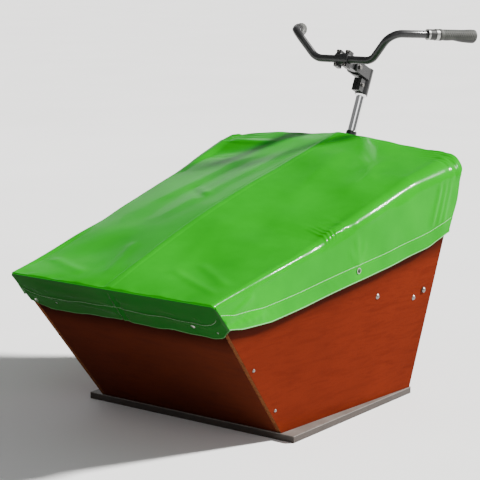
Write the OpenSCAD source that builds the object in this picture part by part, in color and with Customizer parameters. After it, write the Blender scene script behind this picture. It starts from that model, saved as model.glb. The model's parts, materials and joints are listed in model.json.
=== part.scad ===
// Front cargo box of a carrier cycle: raked plywood box on a base board,
// folding bench, PVC cover that folds forward, and the steering column with
// its adjustable stem and swept-back handlebar. Millimetres, +Z up, the
// box faces -Y, its left side is +X, the origin is the centre of the
// underside of the base board.

/* [Base board] */
// Width of the base board, side to side
board_w = 680; // [676:1:700]
// Length of the base board, front to rear
board_l = 570; // [570:1:590]
// Thickness of the board
board_t = 16; // [14:1:18]
// Thickness of the grey sheet bonded on the board
sheet_t = 2; // [1:0.5:3]
// Spacing of the mounting holes, side to side
hole_sx = 440; // [400:5:460]
// Spacing of the mounting holes, front to rear
hole_sy = 380; // [340:5:400]
// Radius of the mounting holes
hole_r = 4.5; // [3:0.5:6]

/* [Plywood box] */
// Thickness of the wall panels
panel_t = 12; // [9:0.5:15]
// Half width of the box at the front of the floor
floor_half = 299; // [295:1:303]
// Widening of each side per mm towards the rear
taper = 0.0697; // [0.06:0.001:0.075]
// Widening of each side per mm upwards
flare = 0.11; // [0.10:0.005:0.12]
// Height of the front top edge
front_top_z = 405; // [403:1:407]
// Forward reach of the front panel from its foot to its top
front_reach = 310; // [308:1:312]
// Backward rake of the rear panel, degrees from vertical
rear_rake = 11.2; // [10.8:0.1:11.6]
// Top of the rear panel's arch
rear_top_z = 655; // [645:1:656]
// Width of the corner battens
batten = 22; // [18:1:24]

/* [Bench] */
// Height of the bench's pivot line
bench_z = 297; // [295:1:299]
// Distance of the bench's pivot line behind the origin
bench_y = 290; // [288:1:292]
// Depth of the seat board ahead of its pivot
seat_depth = 240; // [210:5:240]
// Thickness of the seat board
seat_t = 15; // [12:1:15]

/* [Cover] */
// Thickness of the cover's coated fabric with its hems
cover_t = 3; // [2:0.5:3]
// Gap between the side walls and the cover's skirts
cover_gap = 5; // [4.5:0.5:6]
// Height of the arch at the cover's rear edge above its corners
cover_crown = 24; // [16:1:26]
// Extra fall of the cover's side edges half way along
cover_sag = 15; // [0:1:16]
// Shoulder radius at the rear of the cover
shoulder_r = 62; // [50:1:64]

/* [Steering] */
// Backward lean of the steering column, degrees
lean = 24.8; // [24.4:0.1:25.2]
// Outer radius of the handlebar post
post_r = 12.7; // [12.7:0.05:12.7]
// Reach of the stem from the post axis to the bar axis
bar_t = 134; // [126:1:140]
// Outer radius of the handlebar tube
bar_r = 11.1; // [10.5:0.1:11.1]

/* [Hidden] */
$fn = 64;
e = 0.01;
far = 3000;

function unit(v) = v / norm(v);

zf = board_t + sheet_t;              // top of the floor
yb = -285;                           // reference line of the taper
yf0 = -281;                          // foot of the front panel, outer face
yr0 = 280;                           // foot of the rear panel, outer face
fk = front_reach / (front_top_z - zf);
rk = tan(rear_rake);

// Outer half width of the box at a place on its side wall
function half_w(y, z) = floor_half + taper * (y - yb) + flare * (z - zf);
function front_y(z) = yf0 - fk * (z - zf);
function rear_y(z) = yr0 + rk * (z - zf);
// Top edge of the side walls
function wall_top(y) = 397 + 0.195 * (y + 591);

// ---- frames -------------------------------------------------------------
sn = unit([1, -taper, -flare]);
su = unit([taper, 1, 0]);
sv = cross(sn, su);
so = [floor_half, yb, zf];
function side_uv(y, z) = let (p = [half_w(y, z), y, z] - so) [p * su, p * sv];

module left_frame() {
  multmatrix([[su[0], sv[0], sn[0], so[0]], [su[1], sv[1], sn[1], so[1]],
    [su[2], sv[2], sn[2], so[2]], [0, 0, 0, 1]]) children();
}
module side_frame(s) {
  if (s > 0) left_frame() children();
  else mirror([1, 0, 0]) left_frame() children();
}
module both_sides() { for (s = [1, -1]) side_frame(s) children(); }

fv = unit([0, -fk, 1]);
fn = cross([1, 0, 0], fv);           // outward normal of the front panel
module front_frame() {
  multmatrix([[1, 0, 0, 0], [0, fv[1], fn[1], yf0], [0, fv[2], fn[2], zf],
    [0, 0, 0, 1]]) children();
}
function front_v(z) = (z - zf) / fv[2];

module rear_frame() {
  translate([0, yr0, zf]) rotate([-rear_rake, 0, 0]) children();
}
function rear_v(z) = (z - zf) / cos(rear_rake);

col_o = [0, 486, 665];
module column() { translate(col_o) rotate([-lean, 0, 0]) children(); }
module along_x() { rotate([0, 90, 0]) children(); }

module bench_frame() {
  translate([0, bench_y, bench_z]) rotate([-rear_rake, 0, 0]) children();
}

// Everything outside the inner face of one side wall, moved in by d
module beyond_side(s, d) {
  side_frame(s) translate([-far / 2, -far / 2, -panel_t - d])
    cube([far, far, far / 2]);
}
module below_floor() { translate([-far / 2, -far / 2, zf - far]) cube([far, far, far]); }
// A slab just inside a wall, from depth a to depth b
module side_slab(s, a, b) {
  side_frame(s) translate([-1100, -600, -b]) cube([2200, 1600, b - a]);
}
module front_slab(a, b) {
  front_frame() translate([-600, -300, -b]) cube([1200, 1100, b - a]);
}
module rear_slab(a, b) {
  rear_frame() translate([-600, -b, -300]) cube([1200, b - a, 1300]);
}
module level(z0, z1, y0, y1, x1) {
  translate([-x1, y0, z0]) cube([2 * x1, y1 - y0, z1 - z0]);
}

// ---- base ---------------------------------------------------------------
module base_holes() {
  for (x = [-1, 1], y = [-1, 1])
    translate([x * hole_sx / 2, y * hole_sy / 2, -5])
      cylinder(r = hole_r, h = 60);
}
module base_board() {
  color([0.10, 0.08, 0.07]) difference() {
    translate([-board_w / 2, -board_l / 2, 0]) cube([board_w, board_l, board_t]);
    base_holes();
  }
}
module base_top_sheet() {
  color([0.56, 0.52, 0.47]) difference() {
    translate([-board_w / 2, -board_l / 2, board_t])
      cube([board_w, board_l, sheet_t]);
    base_holes();
  }
}

// ---- walls --------------------------------------------------------------
rail_bolt_yz = [[76, 314], [248, 281.5]];
top_front = [-585.4, 398.1];
top_rear_z = 589;
side_outline = [
  [front_y(zf - 5), zf - 5], [rear_y(zf - 5), zf - 5],
  [rear_y(top_rear_z), top_rear_z], [top_front[0], top_front[1]]];

module side_wall(s) {
  difference() {
    side_frame(s) translate([0, 0, -panel_t]) linear_extrude(panel_t)
      polygon([for (p = side_outline) side_uv(p[0], p[1])]);
    below_floor();
    side_frame(s) for (p = rail_bolt_yz)
      translate([side_uv(p[0], p[1])[0], side_uv(p[0], p[1])[1], -panel_t - 5])
        cylinder(r = 4.25, h = panel_t + 10);
    translate([s * 380, bench_y, bench_z]) rotate([0, 90, 0])
      cylinder(r = 4.25, h = 80, center = true);
  }
}
module left_side_panel() { color([0.50, 0.19, 0.07]) side_wall(1); }
module right_side_panel() { color([0.50, 0.19, 0.07]) side_wall(-1); }

module front_panel() {
  color([0.45, 0.17, 0.07]) difference() {
    front_frame() translate([-450, -20, -panel_t])
      cube([900, front_v(front_top_z) + 20 - 3, panel_t]);
    below_floor();
    beyond_side(1, 0.05);
    beyond_side(-1, 0.05);
    // the top edge is planed level with the side walls
    translate([-far / 2, top_front[0] + 5.4 - 0, top_front[1] + 3])
      rotate([atan(0.195), 0, 0]) translate([0, -500, 0]) cube([far, 1000, 500]);
  }
}

rear_pts = let (r = 50, xc = 345, zc = rear_top_z - 20 - r) concat(
  [[-430, -20], [430, -20]],
  [[430, rear_v(zc)]], [[xc + r, rear_v(zc)]],
  [for (a = [10:10:80]) [xc + r * cos(a), rear_v(zc + r * sin(a))]],
  [for (i = [0:20]) let (x = xc - 2 * xc * i / 20)
    [x, rear_v(rear_top_z - 20 * (x / xc) * (x / xc))]],
  [for (a = [100:10:170]) [-xc + r * cos(a), rear_v(zc + r * sin(a))]],
  [[-xc - r, rear_v(zc)], [-430, rear_v(zc)]]);

bracket_xz = [[40, 452], [-40, 452], [40, 572], [-40, 572]];
module rear_panel() {
  color([0.45, 0.17, 0.07]) difference() {
    rear_frame() rotate([90, 0, 0]) linear_extrude(panel_t) polygon(rear_pts);
    below_floor();
    beyond_side(1, 0.05);
    beyond_side(-1, 0.05);
    rear_frame() for (p = bracket_xz)
      translate([p[0], 10, rear_v(p[1])]) rotate([90, 0, 0])
        cylinder(r = 4.25, h = 40);
  }
}

// ---- battens ------------------------------------------------------------
g = 0.1;                             // glue line
module front_corner_battens() {
  color([0.62, 0.45, 0.27]) for (s = [1, -1]) intersection() {
    front_slab(panel_t + g, panel_t + batten);
    side_slab(s, panel_t + g, panel_t + batten);
    level(zf, 380, -700, 0, 500);
  }
}
module rear_corner_battens() {
  color([0.62, 0.45, 0.27]) for (s = [1, -1]) difference() {
    intersection() {
      rear_slab(panel_t + g, panel_t + batten);
      side_slab(s, panel_t + g, panel_t + batten);
      level(zf, 570, 0, 700, 500);
    }
  }
}
module floor_battens() {
  color([0.62, 0.45, 0.27]) {
    for (s = [1, -1]) intersection() {
      side_slab(s, panel_t + g, panel_t + 20);
      level(zf, zf + 20, -235, 243, 500);
    }
    intersection() {
      front_slab(panel_t + g, panel_t + 20);
      level(zf, zf + 20, -400, 0, 262);
    }
    intersection() {
      rear_slab(panel_t + g, panel_t + 20);
      level(zf, zf + 20, 0, 400, 300);
    }
  }
}

module wood_screw(len) {             // head at z = 0..2.2, shank downwards
  cylinder(r1 = 4.6, r2 = 3.2, h = 2.2);
  translate([0, 0, -len]) cylinder(r = 2, h = len + 0.5);
}
side_screw_yz = [for (z = [86, 212, 337]) [front_y(z) + 20, z]];
module side_panel_screws() {
  color([0.75, 0.75, 0.74]) both_sides() for (p = side_screw_yz)
    translate([side_uv(p[0], p[1])[0], side_uv(p[0], p[1])[1], 0])
      wood_screw(30);
}
module batten_screws() {
  color([0.72, 0.66, 0.45]) {
    both_sides() for (z = [90, 210, 440, 545])
      translate([side_uv(rear_y(z) - 25, z)[0], side_uv(rear_y(z) - 25, z)[1],
        -panel_t - batten]) mirror([0, 0, 1]) wood_screw(29);
    for (x = [-200, 0, 200]) {
      translate([x, -262, zf + 20]) wood_screw(28);
      translate([x, 260, zf + 20]) wood_screw(28);
    }
    for (s = [1, -1], y = [-170, 0, 170])
      translate([s * (half_w(y, zf + 20) - panel_t - 11), y, zf + 20])
        wood_screw(28);
  }
}

// ---- bench --------------------------------------------------------------
module bench_rail(s) {
  difference() {
    intersection() {
      side_slab(s, panel_t + g, panel_t + 24);
      bench_frame() translate([-500, -235, -39]) cube([1000, 220, 30.5]);
    }
    side_frame(s) for (p = rail_bolt_yz)
      translate([side_uv(p[0], p[1])[0], side_uv(p[0], p[1])[1], -80])
        cylinder(r = 4.25, h = 100);
  }
}
module left_bench_rail() { color([0.62, 0.45, 0.27]) bench_rail(1); }
module right_bench_rail() { color([0.62, 0.45, 0.27]) bench_rail(-1); }

module dome_head(r, h) {             // shallow cup head standing on z = 0
  intersection() {
    cylinder(r = r, h = h);
    translate([0, 0, h - (r * r + h * h) / (2 * h) ])
      sphere(r = (r * r + h * h) / (2 * h));
  }
}
module bench_rail_bolts() {
  color([0.80, 0.80, 0.78]) both_sides() for (p = rail_bolt_yz)
    translate([side_uv(p[0], p[1])[0], side_uv(p[0], p[1])[1], 0]) {
      dome_head(7.5, 4);
      translate([0, 0, -panel_t - 24 - 9]) cylinder(r = 4, h = panel_t + 34);
    }
}
module hex_nut(r, h, bore) {         // standing on z = 0
  difference() {
    cylinder(r = r, h = h, $fn = 6);
    translate([0, 0, -1]) cylinder(r = bore, h = h + 2);
  }
}
module washer(r, h, bore) {
  difference() {
    cylinder(r = r, h = h);
    translate([0, 0, -1]) cylinder(r = bore, h = h + 2);
  }
}
module bench_rail_nuts() {
  color([0.80, 0.80, 0.78]) both_sides() for (p = rail_bolt_yz)
    translate([side_uv(p[0], p[1])[0], side_uv(p[0], p[1])[1],
      -panel_t - 24 - 8]) {
      hex_nut(7.2, 6.4, 4);
      translate([0, 0, 6.4]) washer(8.5, 1.6, 4.2);
    }
}
piv_w = half_w(bench_y, bench_z);    // wall's outer face on the pivot line
seat_end = 346;
module bench_pivot_bolts() {
  color([0.80, 0.80, 0.78]) for (s = [1, -1])
    translate([0, bench_y, bench_z]) scale_side(s) {
      translate([334, 0, 0]) along_x() cylinder(r = 4, h = piv_w + 3 - 334 + 0.5);
      translate([piv_w + 3, 0, 0]) along_x() dome_head(7, 4);
    }
}
module scale_side(s) { if (s > 0) children(); else mirror([1, 0, 0]) children(); }
module bench_pivot_washers() {       // wedge washers on both faces of the wall
  color([0.70, 0.70, 0.70]) for (s = [1, -1]) {
    difference() {
      translate([0, bench_y, bench_z]) scale_side(s)
        translate([piv_w - 8, 0, 0]) along_x() washer(8, 11, 4.2);
      side_frame(s) translate([-far / 2, -far / 2, -far / 2])
        cube([far, far, far / 2 + 0.02]);
    }
    difference() {
      translate([0, bench_y, bench_z]) scale_side(s)
        translate([seat_end + 4.3, 0, 0]) along_x() washer(7, 20, 4.2);
      beyond_side(s, 0.02);
    }
  }
}
seat_front_half = 339;
seat_pts = [[-seat_front_half, -seat_depth], [seat_front_half, -seat_depth],
  [seat_end + 2, -50], [seat_end, -50], [seat_end, 7], [328, 7], [328, 18],
  [-328, 18], [-328, 7], [-seat_end, 7], [-seat_end, -50],
  [-seat_end - 2, -50]];
module bench_seat() {
  color([0.45, 0.17, 0.07]) difference() {
    bench_frame() translate([0, 0, -seat_t / 2]) linear_extrude(seat_t)
      polygon(seat_pts);
    for (s = [1, -1]) translate([0, bench_y, bench_z]) scale_side(s)
      translate([328, 0, 0]) along_x() cylinder(r = 4.6, h = 30);
  }
}
module bench_hinge_plates() {
  color([0.70, 0.70, 0.70]) for (s = [1, -1]) difference() {
    bench_frame() scale_side(s) translate([seat_end, -46, -7])
      cube([3.5, 52.8, 14]);
    translate([0, bench_y, bench_z]) scale_side(s)
      translate([seat_end - 1, 0, 0]) along_x() cylinder(r = 4.06, h = 6);
  }
}
module hinge_plate_screws() {
  color([0.80, 0.80, 0.78]) for (s = [1, -1]) bench_frame() scale_side(s)
    for (y = [-38, -20])
      translate([seat_end + 3.5, y, 0]) along_x() {
        cylinder(r1 = 3.4, r2 = 2.4, h = 1.6);
        translate([0, 0, -22]) cylinder(r = 1.6, h = 22.5);
      }
}

// ---- steering mount on the rear panel ------------------------------------
ht_top = -15;                        // head tube, along the column axis
ht_bot = -170;
ht_r = 18;
plate_z = [434, 588];
module steering_bracket() {
  color([0.06, 0.06, 0.06]) difference() {
    union() {
      rear_frame() translate([-58, 0.05, rear_v(plate_z[0])])
        cube([116, 5, rear_v(plate_z[1]) - rear_v(plate_z[0])]);
      translate([5, 0, 0]) rotate([90, 0, -90]) linear_extrude(10) mirror([1, 0])
        polygon([[rear_y(513) + 4, 513], [rear_y(586) + 4, 586],
          [450, 586], [416.7, 515.2]]);
      // cheek plates that stiffen the web
      for (x = [-30, 30]) translate([x + 2, 0, 0]) rotate([90, 0, -90])
        linear_extrude(4) mirror([1, 0])
        polygon([[rear_y(540) + 4, 540], [rear_y(586) + 4, 586],
          [442, 586], [430, 562]]);
      translate([-32, rear_y(584) + 3, 582]) cube([64, 38, 4]);
    }
    column() translate([0, 0, -200]) cylinder(r = ht_r, h = 260);
    column() translate([0, 0, -200]) cylinder(r = ht_r + 2.5, h = 30.4);
    rear_frame() for (p = bracket_xz)
      translate([p[0], 20, rear_v(p[1])]) rotate([90, 0, 0])
        cylinder(r = 4.25, h = 40);
  }
}
module bracket_backing_plate() {
  color([0.70, 0.70, 0.70]) difference() {
    rear_frame() translate([-52, -panel_t - 3.05, rear_v(440)])
      cube([104, 3, rear_v(584) - rear_v(440)]);
    rear_frame() for (p = bracket_xz)
      translate([p[0], 20, rear_v(p[1])]) rotate([90, 0, 0])
        cylinder(r = 4.25, h = 60);
  }
}
module bracket_bolts() {
  color([0.75, 0.75, 0.74]) rear_frame() for (p = bracket_xz)
    translate([p[0], 5.1, rear_v(p[1])]) rotate([-90, 0, 0]) {
      cylinder(r = 7.4, h = 5.3, $fn = 6);
      translate([0, 0, -5.1 - panel_t - 3 - 9]) cylinder(r = 4, h = panel_t + 18);
    }
}
module bracket_nuts() {
  color([0.75, 0.75, 0.74]) rear_frame() for (p = bracket_xz)
    translate([p[0], -panel_t - 3.15, rear_v(p[1])]) rotate([90, 0, 0])
      hex_nut(7.4, 6.5, 4);
}
module ring(r1, r0, s0, s1) {
  difference() {
    translate([0, 0, s0]) cylinder(r = r1, h = s1 - s0);
    translate([0, 0, s0 - 1]) cylinder(r = r0, h = s1 - s0 + 2);
  }
}
module head_tube() {
  color([0.06, 0.06, 0.06]) column() ring(ht_r - 0.02, 16, ht_bot, ht_top);
}
steer_r = 14.3;
module upper_headset_cup() {
  color([0.75, 0.75, 0.76]) column() ring(19.5, steer_r + 0.08, ht_top, ht_top + 8);
}
module lower_headset_cup() {
  color([0.75, 0.75, 0.76]) column() ring(19.5, steer_r + 0.08, ht_bot - 8, ht_bot);
}

// ---- steering body --------------------------------------------------------
module steerer_tube() {
  color([0.70, 0.70, 0.71]) column() ring(steer_r, post_r + 0.06, -204, 3);
}
module lower_crown_race() {
  color([0.75, 0.75, 0.76]) column() ring(18, steer_r, -186, ht_bot - 8.4);
}
module headset_locknut() {
  color([0.07, 0.07, 0.07]) column() difference() {
    translate([0, 0, ht_top + 8.5]) union() {
      cylinder(r = 16.5, h = 9);
      translate([0, 0, 9]) cylinder(r = 15.8, h = 19);
      translate([0, 0, 28]) cylinder(r1 = 15.8, r2 = 14.9, h = 2);
    }
    translate([0, 0, -30]) cylinder(r = steer_r, h = 60);
  }
}
arm_len = 80;
module steering_arm() {
  color([0.07, 0.07, 0.07]) column() difference() {
    union() {
      translate([0, 0, -202]) cylinder(r = 20.5, h = 14);
      translate([-11, 0, -199]) cube([22, arm_len, 8]);
      translate([0, arm_len, -199]) cylinder(r = 11, h = 8);
      translate([-24, 8, -202]) cube([14, 20, 14]);
    }
    translate([0, 0, -210]) cylinder(r = steer_r, h = 40);
    translate([0, arm_len, -210]) cylinder(r = 4, h = 30);
    translate([-30, 22, -195]) along_x() cylinder(r = 2.6, h = 30);
  }
}
module steering_arm_bolt() {
  color([0.75, 0.75, 0.74]) column() translate([-24, 22, -195]) along_x() {
    translate([0, 0, -5]) cylinder(r = 4.4, h = 5);
    cylinder(r = 2.5, h = 22);
  }
}

// ---- post body --------------------------------------------------------------
post_bot = -118;
post_top = 214;
module handlebar_post() {
  color([0.82, 0.83, 0.85]) column() ring(post_r, 10.9, post_bot, post_top);
}
module expander_wedge() {
  color([0.55, 0.55, 0.56]) column() difference() {
    translate([0, 0, post_bot - 30]) cylinder(r = post_r, h = 29.9);
    translate([0, 0, post_bot - 40]) cylinder(r = 4, h = 60);
  }
}
module expander_bolt() {
  color([0.60, 0.60, 0.61]) column() {
    translate([0, 0, post_bot - 30]) cylinder(r = 3.96, h = post_top - post_bot + 28);
    translate([0, 0, post_top - 3]) cylinder(r = 6.5, h = 6);
    translate([0, 0, post_top - 5.1]) ring(10.85, 3.96, 0, 2);
  }
}
sb = 137;                            // foot of the stem's sleeve
st = 218;                            // its top
piv_t = 68;
piv_s = 199;
bar_s = 197;
module stem_clamp_body() {
  color([0.05, 0.05, 0.05]) column() difference() {
    union() {
      translate([0, 0, sb]) cylinder(r = 19, h = st - sb);
      translate([-13, -37, sb + 3]) cube([26, 37, 38]);
      translate([-18, -48, 182]) cube([36, 48, 34]);
      for (x = [-18, 11.3]) {
        translate([x, -piv_t, 182]) cube([6.7, piv_t, 34]);
        translate([x, -piv_t, piv_s]) along_x() cylinder(r = 17, h = 6.7);
      }
    }
    translate([0, 0, sb - 5]) cylinder(r = post_r, h = post_top - sb + 12);
    translate([-1, -40, sb - 1]) cube([2, 30, 38]);
    translate([-30, -27, 159]) along_x() cylinder(r = 3.1, h = 60);
    translate([-30, -piv_t, piv_s]) along_x() cylinder(r = 4, h = 60);
  }
}
module stem_clamp_bolt() {
  color([0.75, 0.75, 0.74]) column() translate([0, -27, 159]) {
    translate([-17, 0, 0]) along_x() cylinder(r = 3, h = 30.1);
    translate([13.1, 0, 0]) along_x() cylinder(r = 5, h = 5);
    translate([-17, 0, 0]) along_x() hex_nut(5.4, 3.9, 3);
  }
}
module stem_base_ring() {
  color([0.82, 0.83, 0.85]) column() difference() {
    translate([0, 0, sb - 5]) cylinder(r1 = 15, r2 = 17, h = 4.9);
    translate([0, 0, sb - 8]) cylinder(r = post_r, h = 12);
  }
}
module stem_pivot_bolt() {
  color([0.72, 0.72, 0.72]) column() translate([0, -piv_t, piv_s]) {
    translate([-22, 0, 0]) along_x() cylinder(r = 3.98, h = 40.1);
    translate([18.1, 0, 0]) along_x() cylinder(r = 6.5, h = 5);
    translate([-23, 0, 0]) along_x() hex_nut(7, 4.9, 3.98);
  }
}

// ---- stem body ---------------------------------------------------------------
clamp_hw = 22;
module bar_lugs(t0, t1) {            // bolt bosses above and below the bar
  for (x = [-15, 15], k = [-1, 1])
    translate([x - 6.5, -t1, bar_s + (k > 0 ? 12 : -25)])
      cube([13, t1 - t0, 13]);
}
module lug_holes(r) {
  for (x = [-15, 15], k = [-1, 1])
    translate([x, -bar_t + 30, bar_s + k * 19.5]) rotate([90, 0, 0])
      cylinder(r = r, h = 60);
}
module stem_arm() {
  color([0.05, 0.05, 0.05]) column() difference() {
    union() {
      translate([-11, -piv_t, piv_s]) along_x() cylinder(r = 15, h = 22);
      translate([-11, -bar_t + 8, bar_s - 13]) cube([22, bar_t - piv_t - 8, 26]);
      difference() {
        union() {
          translate([-clamp_hw, -bar_t, bar_s]) along_x()
            cylinder(r = 19, h = 2 * clamp_hw);
          bar_lugs(bar_t - 13, bar_t - 0.5);
        }
        translate([-50, -bar_t - 60 + 0.5, bar_s - 60]) cube([100, 60, 120]);
      }
    }
    translate([-50, -bar_t, bar_s]) along_x() cylinder(r = 12.76, h = 100);
    translate([-50, -piv_t, piv_s]) along_x() cylinder(r = 4.05, h = 100);
    lug_holes(2.6);
  }
}
module bar_faceplate() {
  color([0.05, 0.05, 0.05]) column() difference() {
    union() {
      translate([-clamp_hw, -bar_t, bar_s]) along_x()
        cylinder(r = 18, h = 2 * clamp_hw);
      bar_lugs(bar_t + 0.5, bar_t + 11);
    }
    translate([-50, -bar_t - 0.5, bar_s - 60]) cube([100, 60, 120]);
    translate([-50, -bar_t, bar_s]) along_x() cylinder(r = 12.76, h = 100);
    lug_holes(2.6);
  }
}
module faceplate_bolts() {
  color([0.75, 0.75, 0.74]) column()
    for (x = [-15, 15], k = [-1, 1])
      translate([x, -bar_t - 11.1, bar_s + k * 19.5]) rotate([90, 0, 0]) {
        difference() {
          cylinder(r = 4.3, h = 5);
          translate([0, 0, 2.5]) cylinder(r = 2.2, h = 4, $fn = 6);
        }
        translate([0, 0, -24]) cylinder(r = 2.5, h = 24.1);
      }
}

// ---- handlebar ----------------------------------------------------------------
bar_o = col_o + [0, bar_s * sin(lean) - bar_t * cos(lean),
  bar_s * cos(lean) + bar_t * sin(lean)];
c1 = [95, 0, 0];                     // corners of the bar's left half
c2 = [163, -9, 80];
c3 = [302, 226, 67];
function bend_t(a, b, c, r) =
  r * tan(acos(unit(b - a) * unit(c - b)) / 2);
function bend_pts(a, b, c, r, n) = let (   // points round the corner b
    d1 = unit(b - a), d2 = unit(c - b), t = bend_t(a, b, c, r),
    m = unit(d2 - (d1 * d2) * d1), o = b - d1 * t + m * r,
    w = acos(d1 * d2))
  [for (i = [0:n]) o - m * r * cos(w * i / n) + d1 * r * sin(w * i / n)];
half_path = concat(bend_pts([0, 0, 0], c1, c2, 42, 6),
  bend_pts(c1, c2, c3, 46, 8), [c3 - unit(c3 - c2) * 3]);
nh = len(half_path);
bar_path = concat([for (i = [nh - 1:-1:0])
    [-half_path[i][0], half_path[i][1], half_path[i][2]]], half_path);
sides = 18;
function tangent(p, i) = unit(
  (i < len(p) - 1 ? unit(p[i + 1] - p[i]) : [0, 0, 0])
  + (i > 0 ? unit(p[i] - p[i - 1]) : [0, 0, 0]));
function ring_at(c, t, r) = let (
    u = unit(cross([0, -1, 1], t)), v = cross(t, u))
  [for (k = [0:sides - 1]) let (a = 360 * k / sides)
    c + r * (u * cos(a) + v * sin(a))];
module hollow_sweep(path, r1, r0) {
  n = len(path);
  pts = [for (i = [0:n - 1]) let (t = tangent(path, i))
    each concat(ring_at(path[i], t, r1), ring_at(path[i], t, r0))];
  function at(i, k, q) = i * 2 * sides + q * sides + k % sides;
  faces = concat(
    [for (i = [0:n - 2], k = [0:sides - 1]) each [
      [at(i, k, 0), at(i, k + 1, 0), at(i + 1, k + 1, 0)],
      [at(i, k, 0), at(i + 1, k + 1, 0), at(i + 1, k, 0)],
      [at(i, k, 1), at(i + 1, k + 1, 1), at(i, k + 1, 1)],
      [at(i, k, 1), at(i + 1, k, 1), at(i + 1, k + 1, 1)]]],
    [for (k = [0:sides - 1]) each [
      [at(0, k, 0), at(0, k, 1), at(0, k + 1, 0)],
      [at(0, k + 1, 0), at(0, k, 1), at(0, k + 1, 1)],
      [at(n - 1, k, 0), at(n - 1, k + 1, 0), at(n - 1, k, 1)],
      [at(n - 1, k + 1, 0), at(n - 1, k + 1, 1), at(n - 1, k, 1)]]]);
  polyhedron(points = pts, faces = [for (f = faces) [f[2], f[1], f[0]]],
    convexity = 8);
}
module both_halves() { children(); mirror([1, 0, 0]) children(); }
module handlebar_tube() {
  color([0.05, 0.05, 0.05]) translate(bar_o) union() {
    hollow_sweep(bar_path, bar_r, bar_r - 1.8);
    translate([-26, 0, 0]) along_x() difference() {
      cylinder(r = 12.7, h = 52);
      translate([0, 0, -1]) cylinder(r = 10.2, h = 54);
    }
  }
}
grip_l = 157;                        // grip with its rings, from the bar end
gd = unit(c3 - c2);
module grip_frame() {                // local +Z points out along the grip
  az = atan2(gd[1], gd[0]);
  inc = acos(gd[2]);
  translate(bar_o + c3) rotate([0, 0, az]) rotate([0, inc, 0]) children();
}
module grip() {
  difference() {
    union() {
      rotate_extrude() polygon([[0, -122], [16, -122], [16.6, -112],
        [15.2, -95], [15.4, -60], [16.6, -30], [17.6, -14], [17.6, -4],
        [16, 0], [0, 0]]);
      // palm rest towards the bar's end
      translate([8, 0, -72]) cylinder(r1 = 8, r2 = 12.6, h = 42);
      translate([8, 0, -30]) cylinder(r = 12.6, h = 22);
      translate([8, 0, -8]) cylinder(r1 = 12.6, r2 = 9, h = 7);
    }
    translate([0, 0, -130]) cylinder(r = bar_r + 0.02, h = 127.2);
  }
}
module left_grip() { color([0.30, 0.31, 0.29]) grip_frame() grip(); }
module right_grip() {
  color([0.30, 0.31, 0.29]) mirror([1, 0, 0]) grip_frame() grip();
}
module grip_ring(z0, z1, r) {
  difference() {
    translate([0, 0, z0]) cylinder(r = r, h = z1 - z0);
    translate([0, 0, z0 - 1]) cylinder(r = bar_r + 0.02, h = z1 - z0 + 2);
  }
}
module grip_collars() {
  color([0.08, 0.08, 0.08]) both_halves() grip_frame()
    grip_ring(-151, -132, 15.4);
}
module grip_lock_rings() {
  color([0.70, 0.70, 0.68]) both_halves() grip_frame() {
    grip_ring(-157, -151.05, 15.8);
    grip_ring(-131.95, -122.05, 16.6);
  }
}

// ---- cover ----------------------------------------------------------------------
cy0 = -596;                          // front edge, on the cover's fold line
cz0 = 409;
cy1 = 424.5;                         // rear edge
cl = cy1 - cy0;
function crest(y) = let (u = y - cy0) cz0 + 0.245 * u + 0.0000251 * u * u;
// The top is hung from its ends, so its edges sag between them.
function crown(y) = let (t = (y - cy0) / cl)
  cover_crown * t + cover_sag * sin(180 * t);
function edge_z(y) = crest(y) - crown(y);
function cov_half(y) = half_w(y, wall_top(y)) + cover_gap + cover_t;
shoulder = [[0, 10], [300, 16], [510, 24], [700, 32], [850, 40], [950, 50],
  [cl, shoulder_r]];
function sh_r(y) = lookup(y - cy0, shoulder);
hem = [[-545, 341], [-500, 333], [-396, 333], [-250, 349], [-107, 368],
  [90, 395], [276, 425], [372, 454]];
function front_edge(z) = z >= front_top_z ? cy0 + (cz0 - z) * 1.25
  : front_y(z);
function rear_edge(z) = let (k = max(0, min(1, (z - 590) / 45)))
  rear_y(z) + 4 + (cy1 - rear_y(660) - 4) * k * k * (3 - 2 * k)
  + (z > 660 ? rear_y(660) - rear_y(z) : 0);
na = 5;                              // steps round a shoulder
nt = 12;                             // steps across the top
nv = 4;                              // steps down a skirt
ns = 16;                             // stations front to rear
// Point j of the section at station v, d inside the outer face.
// j runs from the left hem (0) over the top to the right hem.
function sec_n() = 2 * (nv + na) + nt;
function place(x, z, v, yn) = let (
    y = (1 - v) * front_edge(z) + v * rear_edge(z),
    k = cov_half(y) / cov_half(yn))
  [x * k, y, z];
function sec_pt(j, v, d) = let (
    yn = cy0 + cl * v,
    w = cov_half(yn) - d, r = max(1, sh_r(yn) - d), ze = edge_z(yn) - d,
    xc = w - r, zc = ze - r,
    yh = yn + (1 - v) * 55 - v * 54, zh = lookup(yh, hem),
    m = sec_n() - j, i = min(j, m), sg = j <= m ? 1 : -1)
  i <= nv ? place(sg * w, zh + (zc - zh) * i / nv, v, yn)
  : i <= nv + na ? let (a = 90 * (i - nv) / na)
      place(sg * (xc + r * cos(a)), zc + r * sin(a), v, yn)
  : let (q = (j - nv - na) / nt, x = xc * (1 - 2 * q))
      place(x, ze + crown(yn) * (1 - pow(x / xc, 2)), v, yn);

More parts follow.
